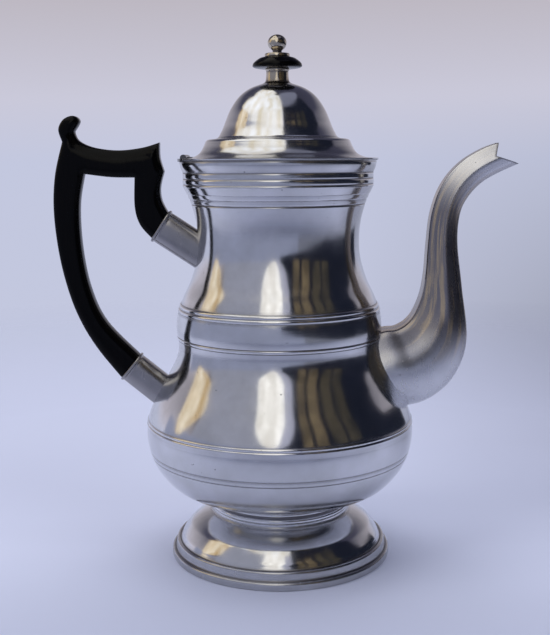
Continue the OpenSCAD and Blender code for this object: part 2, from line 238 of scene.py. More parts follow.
def shell(outer, thick, base=None):
    """A closed outline of a wall: the dressed outside and a plain inside, thick apart."""
    inside = np.array(base if base is not None else outer, float)
    inside = inside - normals(inside) * thick
    return np.concatenate([outer, inside[::-1]])


def tube(rows, looped=False):
    """Points and faces of a tube through rings of points, capped at both ends or looped."""
    size = len(rows[0])
    starts = [k * size for k in range(len(rows))]
    pairs = list(zip(starts, starts[1:]))
    if looped:
        pairs.append((starts[-1], starts[0]))
    faces = []
    for a, b in pairs:
        for i in range(size):
            j = (i + 1) % size
            faces.append([a + i, a + j, b + j, b + i])
    if not looped:
        faces.append(list(range(size))[::-1])
        faces.append([starts[-1] + i for i in range(size)])
    return [point for row in rows for point in row], faces


def cut(piece, cutters):
    """Takes the cutters away from a piece and removes them."""
    for cutter in cutters:
        change = piece.modifiers.new("cut", "BOOLEAN")
        change.operation = "DIFFERENCE"
        change.solver = "EXACT"
        change.object = cutter
    graph = bpy.context.evaluated_depsgraph_get()
    mesh = bpy.data.meshes.new_from_object(piece.evaluated_get(graph))
    piece.modifiers.clear()
    piece.data = mesh
    mesh.set_sharp_from_angle(angle=SHARP_ANGLE)
    for cutter in cutters:
        bpy.data.objects.remove(cutter)


def cutter_bar(radius, start, end, sides=32):
    """A round bar between two points for cutting."""
    start, end = Vector(start), Vector(end)
    way = (end - start).to_track_quat("Z", "Y").to_matrix()
    angles = [2 * math.pi * i / sides for i in range(sides)]
    ring = [way @ Vector((radius * math.cos(a), radius * math.sin(a), 0)) for a in angles]
    rows = [[centre + point for point in ring] for centre in (start, end)]
    return cutter_mesh(*tube(rows))


def cutter_box(corner_a, corner_b):
    """A box between two corners for cutting."""
    (x0, y0, z0), (x1, y1, z1) = corner_a, corner_b
    verts = [Vector((x, y, z)) for x in (x0, x1) for y in (y0, y1) for z in (z0, z1)]
    faces = [(0, 1, 3, 2), (4, 6, 7, 5), (0, 4, 5, 1), (2, 3, 7, 6), (0, 2, 6, 4), (1, 5, 7, 3)]
    return cutter_mesh(verts, faces)


def cutter_mesh(verts, faces):
    mesh = bpy.data.meshes.new("cutter")
    mesh.from_pydata([v * MM for v in verts], [], faces)
    cutter = bpy.data.objects.new("cutter", mesh)
    bpy.context.scene.collection.objects.link(cutter)
    return cutter


# ------------------------------------------------------------- materials

class Nodes:
    """Short ways to add and link nodes in one material or world."""

    def __init__(self, owner, shader="Principled BSDF"):
        owner.use_nodes = True
        self.owner = owner
        self.tree = owner.node_tree
        self.shader = self.tree.nodes[shader]

    def link(self, value, socket):
        if isinstance(value, bpy.types.NodeSocket):
            self.tree.links.new(value, socket)
        else:
            socket.default_value = value

    def add(self, kind, inputs=None, **settings):
        node = self.tree.nodes.new(kind)
        for key, value in settings.items():
            setattr(node, key, value)
        for key, value in (inputs or {}).items():
            self.link(value, node.inputs[key])
        return node

    def math(self, operation, a, b=0.0, clamp=False):
        node = self.add("ShaderNodeMath", {0: a, 1: b}, operation=operation, use_clamp=clamp)
        return node.outputs[0]

    def split(self, vector):
        return self.add("ShaderNodeSeparateXYZ", {"Vector": vector}).outputs

    def place(self):
        return self.add("ShaderNodeTexCoord").outputs["Object"]

    def noise(self, vector, scale, detail=3.0, rough=0.5):
        node = self.add("ShaderNodeTexNoise",
                        {"Vector": vector, "Scale": scale, "Detail": detail, "Roughness": rough})
        return node.outputs["Fac"]

    def stretched(self, vector, scale):
        node = self.add("ShaderNodeMapping", {"Vector": vector, "Scale": scale})
        return node.outputs["Vector"]

    def brushed(self, vector, lean):
        """Places drawn out along Z after it has leaned towards X, in degrees."""
        node = self.add("ShaderNodeMapping", {"Vector": vector, "Rotation": (0, math.radians(lean), 0),
                                              "Scale": (1.0, 1.0, 8.0)}, vector_type="TEXTURE")
        return node.outputs["Vector"]

    def span(self, value, low, high, to_low, to_high):
        node = self.add("ShaderNodeMapRange", {"Value": value, "From Min": low, "From Max": high,
                                               "To Min": to_low, "To Max": to_high})
        return node.outputs["Result"]

    def mix(self, share, a, b):
        node = self.add("ShaderNodeMix", data_type="RGBA")
        self.link(share, node.inputs["Factor"])
        self.link(a, node.inputs["A"])
        self.link(b, node.inputs["B"])
        return node.outputs["Result"]

    def bump(self, height, distance, normal=None):
        node = self.add("ShaderNodeBump", {"Height": height, "Distance": distance, "Strength": 1.0})
        if normal is not None:
            self.link(normal, node.inputs["Normal"])
        return node.outputs["Normal"]

    def turning(self, vector):
        """The same place all the way around the axis: distance from it, height, and a slow drift."""
        parts = self.split(vector)
        flat = self.add("ShaderNodeCombineXYZ", {"X": parts["X"], "Y": parts["Y"]}).outputs[0]
        turn = self.math("ARCTAN2", parts["Y"], parts["X"])
        drift = self.math("MULTIPLY", turn, 0.00035)
        ring = self.add("ShaderNodeCombineXYZ", {"X": self.length(flat), "Y": drift, "Z": parts["Z"]})
        return ring.outputs[0]

    def length(self, vector):
        node = self.add("ShaderNodeVectorMath", {0: vector}, operation="LENGTH")
        return node.outputs["Value"]


def new_nodes(name):
    return Nodes(bpy.data.materials.new(name))


def pewter(name, bright, tint, rough, spun=True, wear=1.0, tarnished=False, lean=0.0):
    """Polished pewter: turning lines, slow waves, pits, dull patches, and tarnish with painted shade in the
    grooves and hollows.

    Cast pewter has lines that run along Z, or at an angle of lean degrees from Z towards X.
    """
    n = new_nodes(name)
    place = n.place()
    lines_at = n.turning(place) if spun else n.brushed(place, lean)
    fine_lines = n.noise(lines_at, 1500.0, 2.0, 0.6)
    pits = pewter_pits(n, place)
    # Share of tarnish in the grooves and of painted shade in hollows, inside the spout and in the lid's gap,
    # from the mesh
    groove = n.add("ShaderNodeAttribute", attribute_name="tarnish_and_shade").outputs["Fac"]

    colour = pewter_patches(n, place, [bright * share for share in tint], wear)
    if tarnished:
        colour = spout_tarnish(n, place, colour)
    # Dark of the dirt in the pits, and of the painted shade that the mesh's share marks
    pit_dirt_and_shade = (0.09, 0.085, 0.10, 1)
    colour = n.mix(n.math("MULTIPLY", pits, 0.7), colour, pit_dirt_and_shade)
    # Mixes in the groove tarnish and the painted shade
    colour = n.mix(n.math("MULTIPLY", groove, 0.85), colour, pit_dirt_and_shade)
    n.link(colour, n.shader.inputs["Base Color"])

    smears = n.noise(n.stretched(place, (1.0, 1.0, 0.35)), 160.0, 3.0, 0.65)
    gloss = n.span(smears, 0.3, 0.75, rough, rough + 0.05 * wear)
    gloss = n.math("ADD", gloss, n.math("MULTIPLY", groove, 0.3))
    gloss = n.math("ADD", gloss, n.math("MULTIPLY", fine_lines, 0.03))
    n.link(gloss, n.shader.inputs["Roughness"])
    n.shader.inputs["Metallic"].default_value = 1.0
    # Turning lines blur reflections across themselves, up and down the pot
    n.shader.inputs["Anisotropic"].default_value = 0.5 if spun else 0.2
    n.shader.inputs["Anisotropic Rotation"].default_value = 0.25

    line_depth = 1.0 if spun else 0.35
    normal = n.bump(n.noise(place, 26.0, 1.0), 0.00035)
    normal = n.bump(n.noise(lines_at, 420.0, 1.0), 0.000006 * line_depth, normal)
    normal = n.bump(fine_lines, 0.000003 * line_depth, normal)
    normal = n.bump(n.math("SUBTRACT", 1.0, pits), 0.00002, normal)
    n.link(normal, n.shader.inputs["Normal"])
    return n.owner


def pewter_pits(n, place):
    """1 in small scattered pits and 0 elsewhere."""
    cells = n.add("ShaderNodeTexVoronoi", {"Vector": place, "Scale": 330.0, "Randomness": 1.0})
    size = n.span(n.noise(place, 90.0, 2.0), 0.49, 0.75, 0.0, 0.15)
    return n.math("LESS_THAN", cells.outputs["Distance"], size)


def pewter_patches(n, place, pale, wear):
    """The metal's colour, duller in cloudy patches."""
    dull = (pale[0] * 0.82, pale[1] * 0.82, pale[2] * 0.80, 1)
    clouds = n.noise(place, 55.0, 4.0, 0.6)
    return n.mix(n.span(clouds, 0.35, 0.75, 0.0, 0.75 * wear), (*pale, 1), dull)


def spout_tarnish(n, place, colour):
    """Brown tarnish on the spout's middle, in streaks that run along it."""
    height = n.split(place)["Z"]
    around = n.add("ShaderNodeAttribute", attribute_name="around").outputs["Fac"]
    slow_height = n.math("MULTIPLY", height, 1.5)
    streak_at = n.add("ShaderNodeCombineXYZ", {"X": around, "Y": slow_height}).outputs[0]
    streaks = n.noise(streak_at, 16.0, 3.0, 0.6)
    grey, gold = (0.17, 0.155, 0.165, 1), (0.50, 0.38, 0.22, 1)
    brown = n.mix(n.span(streaks, 0.48, 0.62, 0.0, 1.0), grey, gold)
    rise = n.span(height, 0.100, 0.120, 0.0, 0.85)
    fall = n.span(height, 0.178, 0.200, 1.0, 0.1)
    return n.mix(n.math("MULTIPLY", rise, fall), colour, brown)


def black_wood():
    """Ebonised hardwood under an old polish, with faint grain and rubbed edges."""
    n = new_nodes("black_wood")
    place = n.place()
    grain = n.noise(n.stretched(place, (1.0, 1.0, 0.08)), 900.0, 4.0, 0.6)
    pores = n.noise(n.stretched(place, (1.0, 1.0, 0.05)), 2200.0, 2.0, 0.7)
    rub = n.noise(place, 70.0, 4.0, 0.6)
    black = (0.001, 0.001, 0.0014, 1)
    brown = (0.003, 0.0024, 0.0024, 1)
    colour = n.mix(n.span(grain, 0.45, 0.8, 0.0, 0.8), black, brown)
    n.link(colour, n.shader.inputs["Base Color"])
    n.link(n.span(rub, 0.3, 0.75, 0.12, 0.20), n.shader.inputs["Roughness"])
    n.shader.inputs["Specular IOR Level"].default_value = 0.09
    bumped = n.bump(grain, 0.000006)
    bumped = n.bump(n.span(pores, 0.6, 0.7, 1.0, 0.0), 0.000006, bumped)
    n.link(bumped, n.shader.inputs["Normal"])
    return n.owner


def dull_brass():
    """Drawn brass, browned with age."""
    n = new_nodes("dull_brass")
    place = n.place()
    stain = n.noise(place, 600.0, 4.0, 0.6)
    drawn = n.noise(n.stretched(place, (1.0, 0.1, 1.0)), 6000.0, 2.0)
    clean, browned = (0.62, 0.45, 0.20, 1), (0.28, 0.19, 0.09, 1)
    colour = n.mix(n.span(stain, 0.35, 0.7, 0.0, 1.0), clean, browned)
    n.link(colour, n.shader.inputs["Base Color"])
    n.link(n.span(stain, 0.3, 0.7, 0.28, 0.48), n.shader.inputs["Roughness"])
    n.shader.inputs["Metallic"].default_value = 1.0
    n.link(n.bump(drawn, 0.00001), n.shader.inputs["Normal"])
    return n.owner


SPUN = pewter("spun_pewter", 0.70, (0.99, 0.995, 1.02), 0.10, wear=1.3)
CAST = pewter("cast_pewter", 0.36, (1.0, 0.97, 0.98), 0.20, spun=False, wear=1.6, lean=126.5)
SPOUT = pewter("spout_pewter", 0.64, (0.985, 0.99, 1.03), 0.23, spun=False, tarnished=True)
TURNED = pewter("turned_pewter", 0.52, (1.0, 0.90, 0.74), 0.11)
# A darker copy of the cast pewter, for the hinge
DARK_CAST = pewter("dark_cast_pewter", 0.16, (1.0, 0.97, 0.98), 0.20, spun=False, wear=1.6)
BLACK = black_wood()
BRASS = dull_brass()


# ------------------------------------------------------- turned outlines

foot_edge = [
    (FOOT_R - 4.5, 0), (FOOT_R - 0.5, 0), (FOOT_R - 0.1, 0.3), (FOOT_R, 0.9), (FOOT_R, 2.6),
    (FOOT_R - 0.1, 3.3), (FOOT_R - 0.45, 3.8), (FOOT_R - 1.0, 4.0), (FOOT_R - 1.5, 4.05)]
foot_riser = smooth([
    (FOOT_R - 1.5, 4.05), (FOOT_R - 1.9, 4.5), (FOOT_R - 2.2, 5.8), (FOOT_R - 2.4, 7.4),
    (FOOT_R - 2.7, 8.2), (FOOT_R - 3.3, 8.55), (FOOT_R - 3.9, 8.5)], 4)
foot_dome = smooth([
    (FOOT_R - 3.9, 8.5), (FOOT_R - 4.3, 8.45), (FOOT_R - 4.7, 8.9), (FOOT_R - 5.3, 10),
    (FOOT_R - 6.3, 11.8), (FOOT_R - 9, 15.3), (FOOT_R - 11.1, 17.4), (FOOT_R - 15, 19.8),
    (FOOT_R - 19.4, 21.9), (FOOT_R - 20.9, 22.7), (FOOT_R - 21.7, 23.7), (FOOT_NECK_R, FOOT_TOP_Z)], 6)

bowl_points = [
    (FOOT_NECK_R, BOWL_Z), (FOOT_NECK_R + 7.2, BOWL_Z + 1.3), (BELLY_R - 17.6, BOWL_Z + 3.9),
    (BELLY_R - 11, BOWL_Z + 8.2), (BELLY_R - 4.4, BOWL_Z + 16.6), (BELLY_R - 1.1, BOWL_Z + 25),
    (BELLY_R, BOWL_Z + 33), (BELLY_R - 0.5, SEAM_Z)]
belly_points = [
    (BELLY_R - 0.5, SEAM_Z), (BELLY_R - 1.2, SEAM_Z + 3.4), (BELLY_R - 4.6, SEAM_Z + 11.4),
    (BELLY_R - 11.2, SEAM_Z + 23), (WAIST_R + 0.6, SEAM_Z + 31.4), (WAIST_R - 1, SEAM_Z + 38),
    (WAIST_R - 0.8, WAIST_LOW_Z)]
waist_points = [
    (WAIST_R - 0.8, WAIST_LOW_Z), (WAIST_R, WAIST_LOW_Z + 5.2), (WAIST_R - 0.8, WAIST_LOW_Z + 13),
    (WAIST_R - 1.7, WAIST_HIGH_Z)]
neck_points = [
    (WAIST_R - 1.7, WAIST_HIGH_Z), (WAIST_R - 4.4, WAIST_HIGH_Z + 6.5),
    (NECK_R + 3.7, WAIST_HIGH_Z + 14.2),
    (NECK_R + 0.7, WAIST_HIGH_Z + 24.6), (NECK_R, WAIST_HIGH_Z + 33.5), (NECK_R + 0.8, WAIST_HIGH_Z + 43),
    (COLLAR_R - 3.6, COLLAR_Z - 8), (COLLAR_R, COLLAR_Z)]
collar_points = [
    (COLLAR_R, COLLAR_Z), (COLLAR_R, COLLAR_Z + 3.3), (COLLAR_R, RIM_Z - 6),
    (COLLAR_R + 1.1, RIM_Z - 3.4), (COLLAR_R + 1.8, RIM_Z - 0.5), (COLLAR_R + 1.5, RIM_Z)]

# Turned details: form, height above the base, half width, height of the relief
bowl_marks = [
    ("line", 57.1, 0.5, 0.32), ("line", 54.5, 0.45, 0.22), ("bead", SEAM_Z - 0.85, 0.75, 0.45)]
belly_marks = [("bead", SEAM_Z + 0.85, 0.75, 0.4)]
waist_marks = [
    ("line", WAIST_LOW_Z + 0.1, 0.3, 0.25), ("bead", WAIST_LOW_Z + 1.05, 0.75, 0.22),
    ("line", WAIST_LOW_Z + 2.05, 0.35, 0.3), ("bead", WAIST_HIGH_Z - 1.05, 0.85, 0.5)]
neck_marks = [("bead", WAIST_HIGH_Z + 1.05, 0.85, 0.5)] + [
    ("line", z, 0.5, 0.36) for z in (COLLAR_Z - 3.8, COLLAR_Z - 6.1, COLLAR_Z - 8.6)]
collar_marks = [
    ("reed", COLLAR_Z + 0.65, 0.6, 0.3), ("reed", COLLAR_Z + 2.75, 1.3, 0.32),
    ("reed", COLLAR_Z + 5.6, 1.35, 0.3)]


# Outline of the body's outside, from the foot's ring to the rim
wall_line = np.concatenate([np.array(smooth(p))[1:] for p in (
    bowl_points, belly_points, waist_points, neck_points, collar_points)])


def wall_radius(z):
    """Outer radius of the body at a height."""
    return float(np.interp(z, wall_line[:, 1], wall_line[:, 0]))


def build_foot():
    neck_r = FOOT_NECK_R - WALL
    inner = [
        (FOOT_R - 4.5, 2.6), (FOOT_R - 6.2, 8), (FOOT_R - 8, 11.2), (FOOT_R - 12.4, 16),
        (FOOT_R - 16.6, 18.8), (FOOT_R - 21.4, 20.9), (neck_r, 23), (neck_r, FOOT_TOP_Z)]
    loop = foot_edge + foot_riser[1:] + foot_dome[1:] + inner[::-1]
    # Painted shade over the riser and the base edge, below 8.4 mm
    lathe("foot_shell", loop, SPUN, "pot", ["foot"], shade_band=(8.4, 0, 0.35))


def build_foot_ring():
    bottom, top = low("foot_ring").z, high("foot_ring").z
    marks = [("bead", bottom + 1.5, 1.4, 1.0), ("bead", bottom + 4.9, 0.95, 0.7),
             ("line", bottom + 6.6, 0.4, 0.25)]
    outer = turned([(FOOT_NECK_R, z) for z in (bottom, bottom + 3, top - 1, top)], marks)
    inner = [(FOOT_NECK_R - WALL, top), (FOOT_NECK_R - WALL, bottom)]
    lathe("foot_bead_ring", list(map(tuple, outer)) + inner, SPUN, "pot", ["foot_ring"])


def build_bowl():
    outer = turned(bowl_points, bowl_marks)
    plain = turned(bowl_points, coarse=2.5)
    inside = plain - normals(plain) * WALL
    wall = np.concatenate([outer, inside[::-1]])
    loop = [(0, BOWL_Z)] + list(map(tuple, wall)) + [(0, BOWL_Z + WALL)]
    lathe("bowl_shell", loop, SPUN, "pot", ["lower_bowl"], closed=False)


def section(name, points, marks, node):
    """One spun section of the body as a wall with its turned details."""
    loop = shell(turned(points, marks), WALL, turned(points, coarse=2.5))
    # Painted shade on the rim's top edge, in the gap under the lid; only the collar reaches that height
    return lathe(name, loop, SPUN, "pot", [node], shade_band=(RIM_Z - 0.3, 0.9, 0))


def build_strainer(belly):
    """Drills the strainer through the belly's wall behind the spout."""
    pitch, radius = 5.4, 1.5
    holes = []
    for row in range(5):
        count = 2 if row % 2 == 0 else 3
        z = 84 + row * pitch
        for i in range(count):
            y = (i - (count - 1) / 2) * pitch
            holes.append(cutter_bar(radius, (40, y, z), (75, y, z), 24))
    cut(belly, holes)


build_foot()
build_foot_ring()
build_bowl()
belly_piece = section("belly_shell", belly_points, belly_marks, "upper_belly")
build_strainer(belly_piece)
section("waist_shell", waist_points, waist_marks, "waist_band")
section("neck_shell", neck_points, neck_marks, "neck")
section("collar_shell", collar_points, collar_marks, "rim_collar")


# ----------------------------------------------------------------- spout

# Inner edge x and z, outer edge x and z, half the width across
spout_rows = [
    (38, 110, 48, 76, 13.5), (52, 117, 66.5, 77.5, 14.2), (60.5, 118.5, 79, 82, 13.6),
    (67.3, 123.8, 90.7, 93.5, 12.2), (72, 134, 96.5, 112, 10.4), (74.2, 146, 93.5, 139.6, 8.9),
    (75.2, 161, 90.9, 161.5, 8), (77, 177, 91.8, 176, 7.5), (82, 191, 95.6, 184.6, 7.2),
    (91, 201.9, 102.5, 192, 7.1), (103, 209.2, 111.8, 197.3, 7.2), (115, 213, 124, 202.5, 7.4)]
spout_rows = np.array(smooth(spout_rows, 24))
MOUTH_TIP = (109.6, 211.2)
MOUTH_NOTCH = (108.2, 205)
MOUTH_LIP = (121.2, 201)

# Flats of the spout: direction of each in degrees from the side nearest the pot, and its distance
spout_flats = [(0, 0.80), (180, 0.96)]
for facing, distance in ((68, 0.87), (115, 0.965), (152, 0.935)):
    spout_flats += [(facing, distance), (-facing, distance)]


def flat_radius(angle, sharp):
    """Radius of a soft-edged polygon with the spout's flats."""
    total = 0.0
    for facing, distance in spout_flats:
        total += max(math.cos(angle - math.radians(facing)) / distance, 0) ** sharp
    return total ** (-1 / sharp)


def section_table(count, sharp):
    """The spout's section as depth from 0, outer edge, to 1, inner edge, and width from -1 to 1."""
    angles = [2 * math.pi * i / count for i in range(count)]
    radii = [flat_radius(a, sharp) for a in angles]
    across = np.array([r * math.cos(a) for r, a in zip(radii, angles)])
    wide = np.array([r * math.sin(a) for r, a in zip(radii, angles)])
    depth = (across - across.min()) / (across.max() - across.min())
    return depth, wide / wide.max()


SPOUT_SIDES = 96
crisp_depth, crisp_width = section_table(SPOUT_SIDES, 30)
soft_depth, soft_width = section_table(SPOUT_SIDES, 5)


def spout_point(t, i, thick):
    """Point i around the spout's section at share t of its length, thick inside its surface."""
    place = t * (len(spout_rows) - 1)
    k = min(int(place), len(spout_rows) - 2)
    row = spout_rows[k] + (spout_rows[k + 1] - spout_rows[k]) * (place - k)
    inner, outer, half = row[:2], row[2:4], row[4]
    mid = (inner + outer) / 2
    deep = (inner - outer) / 2
    # The flats melt into the bulb low down, all but the one along the inner edge
    crisp = float(smoothstep(mid[1], 103, 140))
    crisp = max(crisp, float(smoothstep(crisp_depth[i], 0.5, 0.8)))
    depth = (soft_depth[i] + (crisp_depth[i] - soft_depth[i]) * crisp) * 2 - 1
    width = soft_width[i] + (crisp_width[i] - soft_width[i]) * crisp
    plane = mid + deep * depth * (1 - thick / np.linalg.norm(deep))
    return np.array([plane[0], -width * (half - thick), plane[1]])


def past_mouth(p):
    """Whether a point lies beyond the swallow-tail edge of the mouth."""
    (tx, tz), (nx, nz), (lx, lz) = MOUTH_TIP, MOUTH_NOTCH, MOUTH_LIP
    right = p[0] > nx + (p[2] - nz) * (tx - nx) / (tz - nz)
    above = p[2] > nz + (p[0] - nx) * (lz - nz) / (lx - nx)
    return right and above


def in_body(p):
    """Whether a point lies inside the body's outer surface, by a little more than a hair."""
    return math.hypot(p[0], p[1]) < wall_radius(p[2]) - 0.15


def crossing(test, at, start, end, steps=80):
    """First place between start and end where test(at(place)) changes from its value at start."""
    first = test(at(start))
    before = start
    for k in range(1, steps + 1):
        now = start + (end - start) * k / steps
        if test(at(now)) != first:
            for _ in range(24):
                half = (before + now) / 2
                if test(at(half)) == first:
                    before = half
                else:
                    now = half
            return (before + now) / 2
        before = now
    return end


def spout_rows_of_points(thick, rings):
    """Rings of points from the body's wall to the mouth, thick inside the spout's surface."""
    lines = []
    for i in range(SPOUT_SIDES):
        def at(t, i=i):
            return spout_point(t, i, thick)
        begin = crossing(in_body, at, 0.02, 0.4)
        stop = crossing(past_mouth, at, 0.7, 1)
        lines.append([at(begin + (stop - begin) * k / (rings - 1)) for k in range(rings)])
    return list(zip(*lines))


def build_spout():
    rings = 110
    outer = spout_rows_of_points(0, rings)
    inner = spout_rows_of_points(SPOUT_WALL, rings)
    verts, faces = tube(outer + inner[::-1], looped=True)
    # Painted shade inside and along the mouth's edge
    outside = (rings - 1) * SPOUT_SIDES
    shade = [0.0 if v < outside else 1.0 for v in range(len(verts))]
    piece = new_piece("spout_casting", verts, faces, SPOUT, "pot", ["spout"], shade)
    # Place around the section, from 0 at the outer edge to 1 at the inner edge, for the tarnish
    around = piece.data.attributes.new("around", "FLOAT", "POINT")
    turns = [abs(2 * (v % SPOUT_SIDES) / SPOUT_SIDES - 1) for v in range(len(verts))]
    around.data.foreach_set("value", np.array(turns, np.float32))


build_spout()


# --------------------------------------------------------------- sockets

def rounded_section(depth, thick, power, count=64):
    """A soft rectangle as a list of (depth, thick) points around it."""
    points = []
    for i in range(count):
        a = 2 * math.pi * i / count
        c, s = math.cos(a), math.sin(a)
        points.append((depth / 2 * math.copysign(abs(c) ** (2 / power), c),
                       thick / 2 * math.copysign(abs(s) ** (2 / power), s)))
    return points


# Place along a socket and growth of its section: pocket, lip, and the neck behind the lip
socket_stations = [
    (7.0, -1.3), (0.3, -1.3), (0.0, -0.9), (-0.05, -0.2), (0.0, 0.35), (0.25, 0.62), (0.65, 0.72),
    (1.05, 0.62), (1.35, 0.3), (1.5, 0.02), (1.8, -0.12), (2.6, -0.05), (4.0, 0.0)]


def at_wall(p):
    """Whether a point lies deep enough in the body for a socket to end there."""
    return math.hypot(p[0], p[1]) < wall_radius(p[2]) - 0.2


def build_socket(name, node, mouth, angle, depth, thick):
    """A cast tube with a rolled lip at its mouth that ends on the body's wall."""
    a = math.radians(angle)
    along = Vector((math.cos(a), 0, -math.sin(a)))
    up = Vector((math.sin(a), 0, math.cos(a)))
    start = Vector((mouth[0], 0, mouth[1]))

    def point(place, d, t, grow=0.0):
        across = Vector((0, t * (thick + 2 * grow), 0))
        return start + along * place + up * d * (depth + 2 * grow) + across

    section_points = rounded_section(1, 1, 3.0)
    rows = [[point(place, d, t, grow) for d, t in section_points] for place, grow in socket_stations]
    plain_from = socket_stations[-1][0]
    ends = [crossing(at_wall, lambda s: point(s, d, t), plain_from, 45) for d, t in section_points]
    steps = 14
    for k in range(1, steps + 1):
        rows.append([point(plain_from + (end - plain_from) * k / steps, d, t)
                     for (d, t), end in zip(section_points, ends)])
    verts, faces = tube(rows)
    new_piece(name, verts, faces, CAST, "pot", [node])


UPPER_MOUTH, UPPER_ANGLE = (-59.8, 171.4), 33.5
LOWER_MOUTH, LOWER_ANGLE = (-76.7, 99.2), 39.5
SOCKET_T = high("upper_socket").y * 2 - 1.4
build_socket("upper_socket_casting", "upper_socket", UPPER_MOUTH, UPPER_ANGLE, 17, SOCKET_T)
build_socket("lower_socket_casting", "lower_socket", LOWER_MOUTH, LOWER_ANGLE, 15.6, SOCKET_T)


# --------------------------------------------------------------- handle

handle_back = [
    (-81.6, 93.6), (-92.7, 107.9), (-100.5, 121), (-106.4, 136), (-111, 156), (-113.1, 178),
    (-111.9, 196.5), (-107.6, 213.5)]
handle_scroll = [
    (-107.6, 213.5), (-109.3, 219.6), (-106.6, 224.6), (-101.6, 226.3), (-98.8, 223.6),
    (-101.6, 218.6)]
handle_top = [
    (-101.6, 218.6), (-99.4, 214.1), (-92, 210.7), (-80, 209.2), (-68, 210.4), (-59.2, 212.9)]
handle_front = [(-59.2, 212.9), (-59.1, 205.5), (-57.2, 198.6)]
handle_front_leg = [(-57.2, 198.6), (-59.2, 190.5), (-58.6, 184), (-55.6, 177.9)]
handle_inner_leg = [(-64, 165.1), (-69.8, 172), (-72.3, 181), (-72, 195.6)]
handle_inner_top = [(-72, 195.6), (-84, 195.9), (-97.4, 197.6)]
handle_inner_back = [
    (-97.4, 197.6), (-100.2, 182), (-99.8, 161), (-96.2, 140), (-88.5, 122.4), (-72.1, 104.9)]


TENON_IN = 6            # how far the handle's ends go into the sockets


def along_socket(mouth, angle, deep, across):
    """A point in the XZ plane, deep into a socket and across from its axis."""
    a = math.radians(angle)
    return (mouth[0] + deep * math.cos(a) + across * math.sin(a),
            mouth[1] - deep * math.sin(a) + across * math.cos(a))


def handle_outline(step=0.8):
    """The handle's outline as evenly spaced points, with the share of top chamfer at each."""
    upper = [along_socket(UPPER_MOUTH, UPPER_ANGLE, TENON_IN, side) for side in (7, -7)]
    lower = [along_socket(LOWER_MOUTH, LOWER_ANGLE, TENON_IN, side) for side in (6.4, -6.4)]
    runs = [
        (smooth(handle_back), 0), (smooth(handle_scroll), 0.15), (smooth(handle_top), 1),
        (smooth(handle_front), 0), (smooth(handle_front_leg), 0),
        ([handle_front_leg[-1], upper[0]], 0), (upper, 0), ([upper[1], handle_inner_leg[0]], 0),
        (smooth(handle_inner_leg), 0), (smooth(handle_inner_top), 0), (smooth(handle_inner_back), 0),
        ([handle_inner_back[-1], lower[0]], 0), (lower, 0), ([lower[1], handle_back[0]], 0)]
    points, chamfers = [], []
    for run, chamfer in runs:
        along = lengths(run)
        count = max(2, int(along[-1] / step) + 1)
        stops = np.linspace(0, along[-1], count)[:-1]
        line = np.array(run)
        points.extend(zip(np.interp(stops, along, line[:, 0]), np.interp(stops, along, line[:, 1])))
        chamfers.extend([chamfer] * len(stops))
    return np.array(points), np.array(chamfers)


def distance_to_outline(p, outline):
    """Distance from points to a closed outline, and the outline's nearest edge."""
    a = outline
    b = np.roll(outline, -1, axis=0)
    edge = b - a
    size = (edge ** 2).sum(1)
    t = np.clip(((p[:, None] - a[None]) * edge[None]).sum(2) / size[None], 0, 1)
    near = a[None] + t[..., None] * edge[None]
    gap = np.linalg.norm(p[:, None] - near, axis=2)
    return gap.min(1), gap.argmin(1)


def handle_height(distance, chamfer, half):
    """Half thickness of the handle at a distance in from its outline."""
    round_r = 4.6
    u = np.clip(1 - distance / round_r, 0, 1)
    rounded = half - round_r * 0.62 + round_r * 0.62 * np.sqrt(1 - u * u)
    slope = half - 2.6 * np.clip(1 - distance / 5.6, 0, 1) ** 1.2
    edge = np.clip(distance / 0.9, 0, 1)
    slope = slope - 1.3 * (1 - np.sqrt(1 - (1 - edge) ** 2))
    return rounded * (1 - chamfer) + slope * chamfer


def inside_outline(p, outline):
    """Whether a point lies inside a closed outline."""
    x, z = p
    hit = False
    for (x1, z1), (x2, z2) in zip(outline, np.roll(outline, -1, axis=0)):
        if (z1 > z) != (z2 > z) and x < (x2 - x1) * (z - z1) / (z2 - z1) + x1:
            hit = not hit
    return hit


def handle_cloud(outline):
    """Points inside the outline: rings close to the edge, then an even grid."""
    extra = []
    ahead = np.roll(outline, -1, axis=0)
    behind = np.roll(outline, 1, axis=0)
    way = ahead - behind
    way /= np.linalg.norm(way, axis=1)[:, None]
    inward = np.stack([way[:, 1], -way[:, 0]], axis=1)
    for d in (0.12, 0.35, 0.7, 1.2, 1.8, 2.5, 3.3, 4.2):
        ring = outline + inward * d
        gap, _ = distance_to_outline(ring, outline)
        extra.extend(ring[gap > d * 0.985][::1 if d < 1 else 2])
    (x0, z0), (x1, z1) = outline.min(0), outline.max(0)
    grid = np.array([(x, z) for x in np.arange(x0, x1, 1.5) for z in np.arange(z0, z1, 1.5)])
    gap, _ = distance_to_outline(grid, outline)
    for p, g in zip(grid, gap):
        if g > 4.9 and inside_outline(p, outline):
            extra.append(p)
    return np.array(extra)


def handle_faces(tris, flat):
    """The handle's near and far faces and the strip between them.

    Point i of the near face is point i + len(flat) of the far one.
    """
    count = len(flat)
    near = []
    for a, b, c in tris:
        way, other = flat[b] - flat[a], flat[c] - flat[a]
        turns_right = way[0] * other[1] - way[1] * other[0] < 0
        near.append([a, c, b] if turns_right else [a, b, c])
    far = [[a + count, c + count, b + count] for a, b, c in near]
    edges = [edge for face in near for edge in zip(face, face[1:] + face[:1])]
    shared = set(edges)
    strip = [[b, a, a + count, b + count] for a, b in edges if (b, a) not in shared]
    return near + far + strip


